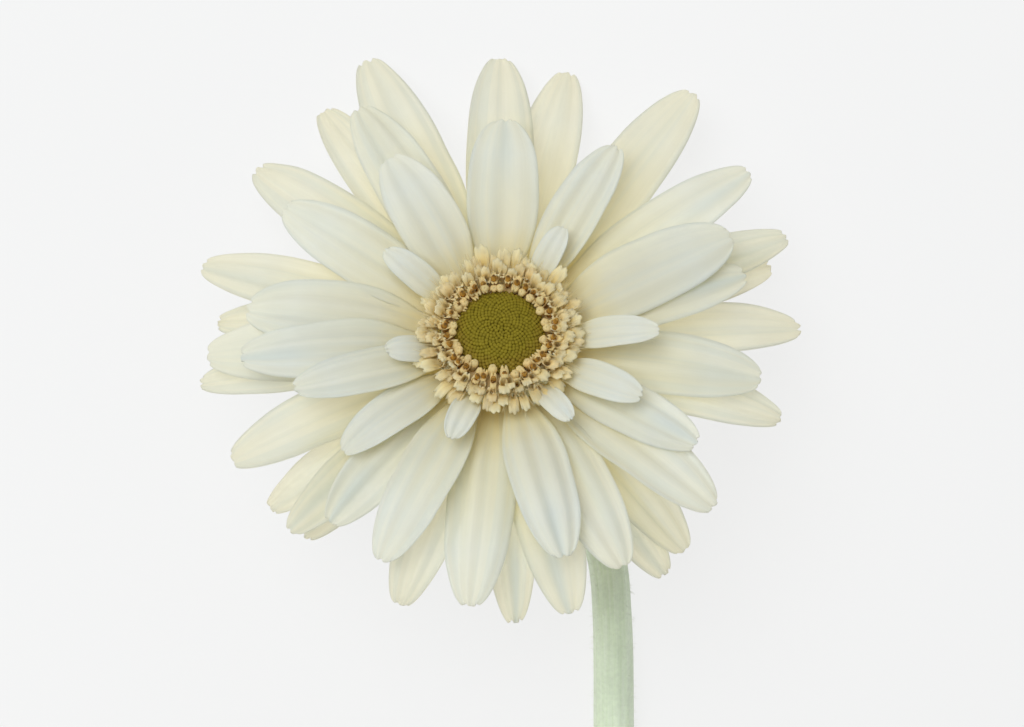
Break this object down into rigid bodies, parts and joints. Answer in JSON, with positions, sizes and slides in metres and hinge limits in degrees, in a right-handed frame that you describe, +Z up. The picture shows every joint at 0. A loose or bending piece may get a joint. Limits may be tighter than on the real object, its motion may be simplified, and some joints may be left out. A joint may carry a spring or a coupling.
{
  "type": "cut gerbera daisy",
  "caption": "White semi-double gerbera daisy, cut on a bare green stem and lying down, its bent neck holding the flower face up.",
  "frame": {"origin": "middle of the bounding box's underside, on the surface the flower lies on", "axes": "+Y along the lying stem towards the flower head, +Z up, out of the surface; the flower faces up and leans 22 degrees towards +Y"},
  "size_m": [0.1012, 0.3534, 0.0469],
  "materials": {
    "ray_floret": "satin, translucent cream white petal with fine veins",
    "trans_floret": "matt cream florets with brown anther tubes",
    "disc_floret": "olive green unopened buds, faintly waxy",
    "bract": "matt green, downy",
    "stem": "pale green, finely ribbed and downy"
  },
  "bodies": {
    "root": {"disc_florets": "disc_floret", "involucre_inner_bracts": "bract", "involucre_middle_bracts": "bract", "involucre_outer_bracts": "bract", "ray_back_1": "ray_floret", "ray_back_2": "ray_floret", "ray_back_3": "ray_floret", "ray_back_4": "ray_floret", "ray_back_5": "ray_floret", "ray_front_1": "ray_floret", "ray_front_2": "ray_floret", "ray_front_3": "ray_floret", "ray_front_4": "ray_floret", "ray_front_5": "ray_floret", "ray_inner_1": "ray_floret", "ray_inner_2": "ray_floret", "ray_inner_3": "ray_floret", "ray_inner_4": "ray_floret", "ray_lower_1": "ray_floret", "ray_lower_2": "ray_floret", "ray_lower_3": "ray_floret", "ray_lower_4": "ray_floret", "ray_lower_5": "ray_floret", "ray_lower_6": "ray_floret", "ray_middle_1": "ray_floret", "ray_middle_2": "ray_floret", "ray_middle_3": "ray_floret", "ray_middle_4": "ray_floret", "ray_middle_5": "ray_floret", "ray_middle_6": "ray_floret", "ray_middle_7": "ray_floret", "ray_middle_8": "ray_floret", "ray_middle_9": "ray_floret", "ray_outer_1": "ray_floret", "ray_outer_10": "ray_floret", "ray_outer_11": "ray_floret", "ray_outer_12": "ray_floret", "ray_outer_2": "ray_floret", "ray_outer_3": "ray_floret", "ray_outer_4": "ray_floret", "ray_outer_5": "ray_floret", "ray_outer_6": "ray_floret", "ray_outer_7": "ray_floret", "ray_outer_8": "ray_floret", "ray_outer_9": "ray_floret", "ray_top_1": "ray_floret", "ray_top_2": "ray_floret", "ray_top_3": "ray_floret", "ray_top_4": "ray_floret", "ray_upper_1": "ray_floret", "ray_upper_2": "ray_floret", "ray_upper_3": "ray_floret", "ray_upper_4": "ray_floret", "ray_upper_5": "ray_floret", "ray_upper_6": "ray_floret", "receptacle": "bract", "stem": "stem", "trans_florets_inner": "trans_floret", "trans_florets_outer": "trans_floret"}
  },
  "joints": []
}
